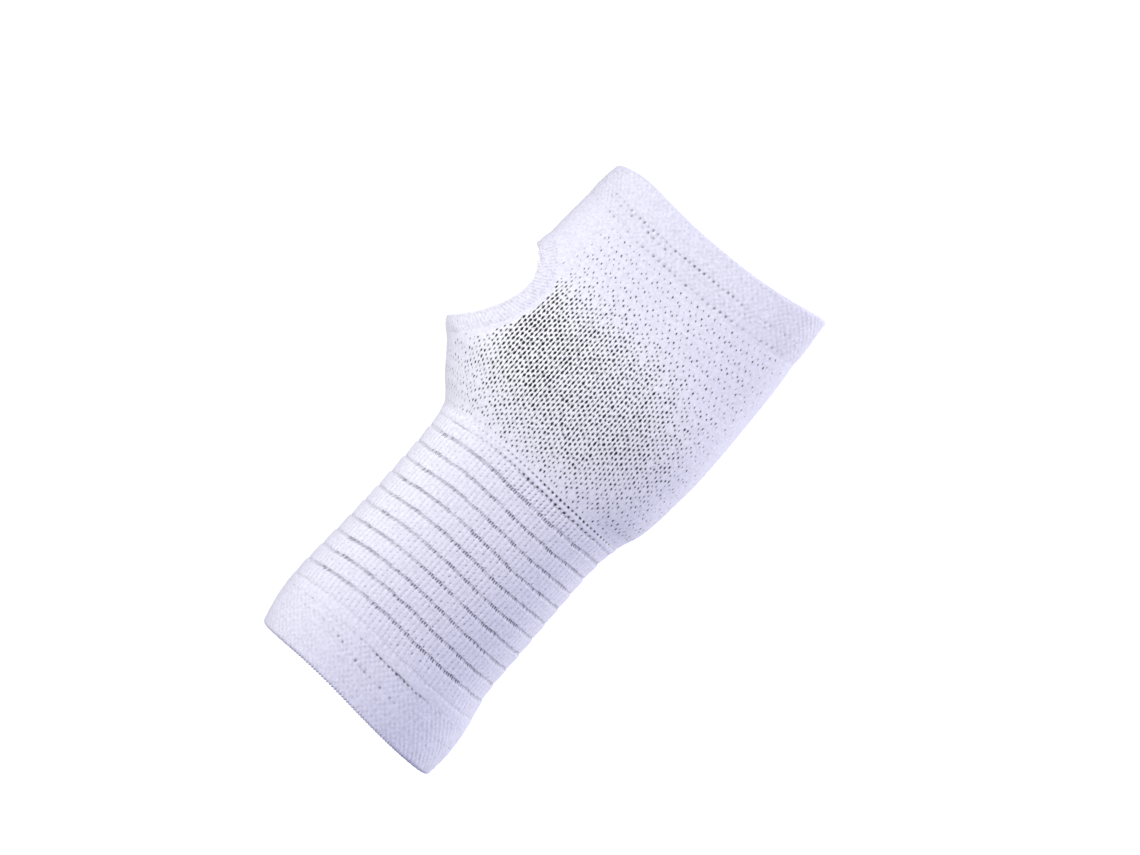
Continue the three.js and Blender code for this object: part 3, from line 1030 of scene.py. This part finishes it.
def hem_places(heading, margin):
    """Turn and level where rays from inside the thumb hole meet its outline, made larger by a margin."""
    near = np.zeros_like(heading)
    far = np.full_like(heading, HEM_REACH)
    for _ in range(HEM_HALVINGS):
        reach = (near + far) / 2
        turn = HEM_MIDDLE["turn"] + reach * np.sin(heading) / HEM_GIRTH
        level = HEM_MIDDLE["level"] + reach * np.cos(heading)
        place = on_sleeve(turn, level, 0 * turn) / MM
        inside = in_thumb_hole(place[:, 0], place[:, 2], margin) < 1
        near, far = np.where(inside, reach, near), np.where(inside, far, reach)
    return turn, level


def thumb_hem():
    columns = HEM_STITCHES * HEM_STEPS
    fine = np.linspace(0, 2 * np.pi, 2 * FINE_STEPS + 1)
    turn, level = hem_places(fine, HEM_WIDTH / 2)
    along = lengths_along(on_sleeve(turn, level, 0 * turn))
    headings = np.interp(np.linspace(0, along[-1], columns + 1), along, fine)

    rows = np.array(HEM_PROFILE)
    bm = flat_cloth(columns, len(rows))
    step, row = flat_places(bm)
    row = np.rint(row).astype(int) % len(rows)
    step_no = np.rint(step).astype(int)
    stitch_no = (step_no // HEM_STEPS) % HEM_STITCHES
    turns = np.empty((len(rows), columns + 1))
    levels = np.empty_like(turns)
    for index, margin in enumerate(rows[:, 0]):
        turns[index], levels[index] = hem_places(headings, margin)
    margin, out, shown, dark = rows[row].T

    ridge = np.cos(2 * np.pi * (step / HEM_STEPS + HEM_LEAN * margin))
    uneven = RNG.uniform(0.1, 1.3, (HEM_STITCHES, len(rows)))[stitch_no, row]
    dots = RNG.uniform(0, 1, HEM_STITCHES)[stitch_no] ** 2
    dotted = (margin > HEM_DOTS["from"]) & (margin < HEM_DOTS["to"])
    dots = np.where((step_no % HEM_STEPS == HEM_DOTS["step"]) & dotted, dots, 0)
    relief = HEM_RELIEF * shown * ridge * uneven - HEM_DOTS["depth"] * dots
    # Painted shade between the overcast stitches, from the profile's rows and in the dots along the outer
    # edge
    between = HEM_SHADE["stitch"] * shown * np.clip(-ridge, 0, 1) * uneven
    painted_shade = np.clip(HEM_SHADE["profile"] * dark + between + HEM_SHADE["dot"] * dots, 0, 1)
    mark(bm, painted_shade, step / HEM_STEPS, margin)
    move(bm, on_sleeve(turns[row, step_no], levels[row, step_no], out + relief))
    close_seams(bm)
    return piece("thumb_hem_overcast", bm, HEM_THREAD, "hem_thread", "thumb_hem")


# Loose thread: small loops that stand off the worn top of the thumb hem
LOOP_COUNT = 9
LOOP_THREAD = 0.13
LOOP_LEVELS = (80.5, 87.0)
LOOP_HEADINGS = (0.2, 1.5)
LOOP_PLACES = 400
LOOP_MARGIN = 0.25
LOOP_RADIUS = (0.5, 1.1)
LOOP_LEAN = (-0.7, 0.7)
LOOP_SWEEP = math.radians(190)
LOOP_STEPS = 9
LOOP_SIDES = 6


def loose_thread():
    turn, level = hem_places(np.linspace(*LOOP_HEADINGS, LOOP_PLACES), LOOP_MARGIN)
    rim = on_sleeve(turn, level, 0 * turn)
    worn = np.flatnonzero((rim[:, 2] > LOOP_LEVELS[0] * MM) & (rim[:, 2] < LOOP_LEVELS[1] * MM))
    bm = bmesh.new()
    for index in worn[:: max(1, len(worn) // LOOP_COUNT)]:
        foot = Vector(rim[index])
        along = (Vector(rim[index + 1]) - foot).normalized()
        inward = Vector((-1, -0.25, 0)).cross(along).cross(along).normalized() * -1
        radius = RNG.uniform(*LOOP_RADIUS) * MM
        lean = Matrix.Rotation(RNG.uniform(*LOOP_LEAN), 4, along)
        axis = (lean @ along.cross(inward)).normalized()
        facing = axis.cross(along).to_track_quat("Z", "Y").to_matrix().to_4x4()
        start = Matrix.Translation(foot + along * radius) @ facing
        ring = bmesh.ops.create_circle(bm, segments=LOOP_SIDES, radius=LOOP_THREAD * MM, matrix=start)
        edges = list(dict.fromkeys(edge for vert in ring["verts"] for edge in vert.link_edges))
        bmesh.ops.spin(
            bm, geom=[*ring["verts"], *edges], cent=foot, axis=axis, angle=LOOP_SWEEP, steps=LOOP_STEPS
        )
    bmesh.ops.holes_fill(bm, edges=[edge for edge in bm.edges if edge.is_boundary], sides=LOOP_SIDES)
    bmesh.ops.recalc_face_normals(bm, faces=bm.faces)
    places = np.array([vert.co for vert in bm.verts]) / MM
    mark(bm, 0 * places[:, 0], places[:, 0], places[:, 2])
    return piece("thumb_hem_loose_thread", bm, HEM_THREAD, "hem_thread")


finger_welt_knit = finger_welt()
palm_net_knit = palm_net()
thumb_hem_overcast = thumb_hem()
thumb_hem_loose_thread = loose_thread()
joining_band_knit = joining_band()
wrist_rib_knit = wrist_rib()
forearm_welt_knit = forearm_welt()

# Flat girths of the cloth as worn, at a middle level of the palm and of the wrist, worked out but not kept
PALM_GIRTH_LEVEL = 72.0
WRIST_GIRTH_LEVEL = -5.0
girth(PALM_GIRTH_LEVEL) * MM
girth(WRIST_GIRTH_LEVEL) * MM

# Floor, light and camera
FLOOR_LEVEL = -0.2
FLOOR_RADIUS = 60.0
FLOOR_WHITE = (0.93, 0.93, 0.92, 1)
FLOOR_GLOW = 0.45
FLOOR_BOUNCE = (0.3, 0.3, 0.42, 1)
PLAIN_WHITE = (1, 1, 1, 1)
WORLD_TINT = (0.64, 0.63, 1.0, 1)
WORLD_STRENGTH = 0.56
BACKDROP_STRENGTH = 1.1
PHOTO_ROLL = math.radians(40.2)
PHOTO_WIDTH = 0.3534
CAMERA_DISTANCE = 1.0
CAMERA_LEVEL = 0.052
SENSOR_WIDTH = 36.0


def pale_floor():
    """White floor that throws back little light, so that shaded cloth keeps its tone."""
    finish = Finish("pale_floor")
    finish.set(
        base_color=FLOOR_WHITE, roughness=0.9, emission_color=PLAIN_WHITE, emission_strength=FLOOR_GLOW
    )
    seen = finish.add("ShaderNodeLightPath", {}, {}, output="Is Camera Ray")
    dim = finish.add("ShaderNodeBsdfDiffuse", {}, {"Color": FLOOR_BOUNCE})
    white = Shade(finish.tree, finish.surface.outputs[0])
    either = finish.add("ShaderNodeMixShader", {}, {0: seen, 1: dim, 2: white})
    plug(finish.tree, finish.tree.nodes["Material Output"].inputs["Surface"], either)
    bm = bmesh.new()
    bmesh.ops.create_circle(bm, cap_ends=True, segments=64, radius=FLOOR_RADIUS)
    bmesh.ops.translate(bm, vec=(0, 0, FLOOR_LEVEL), verts=bm.verts)
    mesh = bpy.data.meshes.new("floor")
    bm.to_mesh(mesh)
    bm.free()
    mesh.materials.append(finish.material)
    floor = bpy.data.objects.new("floor", mesh)
    bpy.context.scene.collection.objects.link(floor)


def aimed(name, light, towards):
    """Object of a light that shines in a direction."""
    obj = bpy.data.objects.new(name, light)
    obj.rotation_euler = Vector(towards).to_track_quat("-Z", "Y").to_euler()
    bpy.context.scene.collection.objects.link(obj)
    return obj


def soft_lamp(name, towards, strength, colour, spread):
    """Even light from one side, softened by a wide spread in degrees."""
    lamp = bpy.data.lights.new(name, "SUN")
    lamp.energy = strength
    lamp.color = colour
    lamp.angle = math.radians(spread)
    aimed(name, lamp, towards)


def near_panel(name, place, aim, size, power, colour, spread):
    """Square light panel close by, with a spread in degrees."""
    panel = bpy.data.lights.new(name, "AREA")
    panel.energy = power
    panel.color = colour
    panel.size = size
    panel.spread = math.radians(spread)
    aimed(name, panel, Vector(aim) - Vector(place)).location = place


def studio_light():
    soft_lamp("key", (0.8, 0.5, -0.3), 0.9, (1.0, 0.98, 0.68), 50)
    soft_lamp("front", (0.35, 0.85, -0.4), 0.85, (0.75, 0.75, 1.0), 60)
    soft_lamp("rim", (-0.9, -0.3, -0.25), 2.0, (1.0, 1.0, 1.0), 40)
    soft_lamp("back", (-0.15, -0.9, -0.4), 0.9, (0.95, 0.95, 1.0), 60)
    near_panel("upper panel", (0.12, -0.33, 0.3), (0, 0, 0.125), 0.25, 0.07, (1.0, 1.0, 0.86), 60)
    near_panel("lower panel", (-0.22, -0.16, -0.08), (-0.05, 0, 0.045), 0.1, 0.046, (1.0, 1.0, 0.84), 70)
    world = bpy.data.worlds.new("studio")
    world.use_nodes = True
    tree = world.node_tree
    background = tree.nodes["Background"]
    background.inputs["Color"].default_value = WORLD_TINT
    background.inputs["Strength"].default_value = WORLD_STRENGTH
    white = tree.nodes.new("ShaderNodeBackground")
    white.inputs["Color"].default_value = PLAIN_WHITE
    white.inputs["Strength"].default_value = BACKDROP_STRENGTH
    seen = tree.nodes.new("ShaderNodeLightPath")
    either = tree.nodes.new("ShaderNodeMixShader")
    tree.links.new(seen.outputs["Is Camera Ray"], either.inputs[0])
    tree.links.new(background.outputs[0], either.inputs[1])
    tree.links.new(white.outputs[0], either.inputs[2])
    tree.links.new(either.outputs[0], tree.nodes["World Output"].inputs["Surface"])
    bpy.context.scene.world = world
    bpy.context.scene.view_settings.view_transform = "Standard"


def photo_camera():
    """Camera in front of the palm, rolled so that the sleeve leans as in the photograph."""
    data = bpy.data.cameras.new("photo_camera")
    data.sensor_width = SENSOR_WIDTH
    data.lens = SENSOR_WIDTH * CAMERA_DISTANCE / PHOTO_WIDTH
    camera = bpy.data.objects.new("photo_camera", data)
    right = (math.cos(PHOTO_ROLL), 0, math.sin(PHOTO_ROLL))
    up = (-math.sin(PHOTO_ROLL), 0, math.cos(PHOTO_ROLL))
    turned = Matrix((right, up, (0, -1, 0))).transposed().to_4x4()
    camera.matrix_world = Matrix.Translation((0, -CAMERA_DISTANCE, CAMERA_LEVEL)) @ turned
    bpy.context.scene.collection.objects.link(camera)
    bpy.context.scene.camera = camera


pale_floor()
studio_light()
photo_camera()

bpy.context.view_layer.update()
